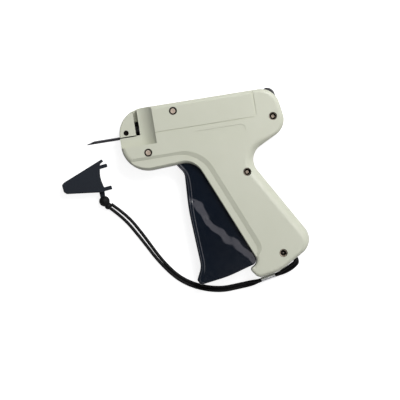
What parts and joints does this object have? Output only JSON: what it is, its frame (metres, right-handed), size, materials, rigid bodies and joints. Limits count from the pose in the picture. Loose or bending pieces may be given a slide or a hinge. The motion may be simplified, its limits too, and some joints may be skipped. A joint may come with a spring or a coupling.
{
  "type": "garment tag attacher",
  "caption": "Pistol-grip tag attacher: trigger swings a forked lever that drives a push rod through a slotted needle; feed wheel, release button, wrist cord and cap.",
  "frame": {"origin": "centre of the bounding box of the tool without its wrist cord, on the side face it lies on", "axes": "-X the way the needle points, +Y the top of the tool, +Z out of the left side; z = 0 is the right side face that it lies on"},
  "size_m": [0.1837, 0.1528, 0.026],
  "materials": {
    "housing": "moulded, satin to glossy, cream",
    "trigger": "moulded, glossy, near-black navy",
    "cap": "moulded, satin, dark navy grey",
    "black_plastic": "moulded, satin black",
    "inner_plastic": "moulded, natural white acetal",
    "screw_steel": "zinc plated",
    "pin_steel": "ground",
    "needle_steel": "polished stainless",
    "spring_steel": "drawn wire",
    "ferrule": "crimped, plain",
    "cord": "round black cord"
  },
  "bodies": {
    "housing_body": {"housing_left": "housing", "housing_right": "housing", "housing_screws": "screw_steel", "nose_plate": "housing", "nose_pin": "pin_steel", "needle_hub": "housing", "needle": "needle_steel", "cutter_blade": "needle_steel", "feed_wheel_axle": "pin_steel", "feed_pawl_pin": "pin_steel", "pawl_spring": "spring_steel", "trigger_spring": "spring_steel", "button_spring": "spring_steel", "cord_anchor_pin": "pin_steel", "cord_bight": "cord", "cord_strand_upper": "cord", "cord_strand_lower": "cord", "cord_ferrule": "ferrule", "cord_knot": "cord", "needle_cap": "cap"},
    "trigger_body": {"trigger": "trigger", "trigger_drive_pin": "pin_steel"},
    "lever_body": {"drive_lever": "inner_plastic"},
    "slide_body": {"slide_carriage": "inner_plastic", "slide_pin": "pin_steel", "push_rod": "needle_steel"},
    "feed_wheel_body": {"feed_wheel": "black_plastic"},
    "feed_pawl_body": {"feed_pawl": "inner_plastic"},
    "release_button_body": {"release_button": "black_plastic"}
  },
  "joints": [
    {"name": "trigger_pivot", "type": "hinge", "parent": "housing_body", "child": "trigger_body", "pos_m": [-0.0094, 0.0657, 0.013], "axis": [0, 0, 1], "range_deg": [0, 16], "stiffness_Nm_per_rad": 0.3, "springref_deg": -34.38},
    {"name": "lever_pivot", "type": "hinge", "parent": "housing_body", "child": "lever_body", "pos_m": [0.0401, 0.0099, 0.013], "axis": [0, 0, 1], "range_deg": [0, 52.8], "deforming": ["trigger_spring"]},
    {"name": "slide_way", "type": "slide", "parent": "housing_body", "child": "slide_body", "axis": [-1, 0, 0], "range_m": [0, 0.0411]},
    {"name": "feed_wheel_spin", "type": "hinge", "parent": "housing_body", "child": "feed_wheel_body", "pos_m": [-0.03895, 0.0565, 0.0074], "axis": [-1, 0, 0], "range_deg": [0, 25.8]},
    {"name": "feed_pawl_pivot", "type": "hinge", "parent": "housing_body", "child": "feed_pawl_body", "pos_m": [-0.0245, 0.059, 0.0118], "axis": [0, 0, -1], "range_deg": [0, 6.9], "deforming": ["pawl_spring"]},
    {"name": "release_button_press", "type": "slide", "parent": "housing_body", "child": "release_button_body", "axis": [-0.8415, -0.5402, 0], "range_m": [0, 0.002], "stiffness_N_per_m": 500, "springref_m": -0.002, "deforming": ["button_spring"]}
  ],
  "couplings": [
    {"joint": "lever_pivot", "follows": "trigger_pivot", "ratio": 3.2964},
    {"joint": "slide_way", "follows": "trigger_pivot", "m_per_rad": 0.14682},
    {"joint": "feed_wheel_spin", "follows": "trigger_pivot", "ratio": 1.6071},
    {"joint": "feed_pawl_pivot", "follows": "trigger_pivot", "ratio": 0.43}
  ]
}
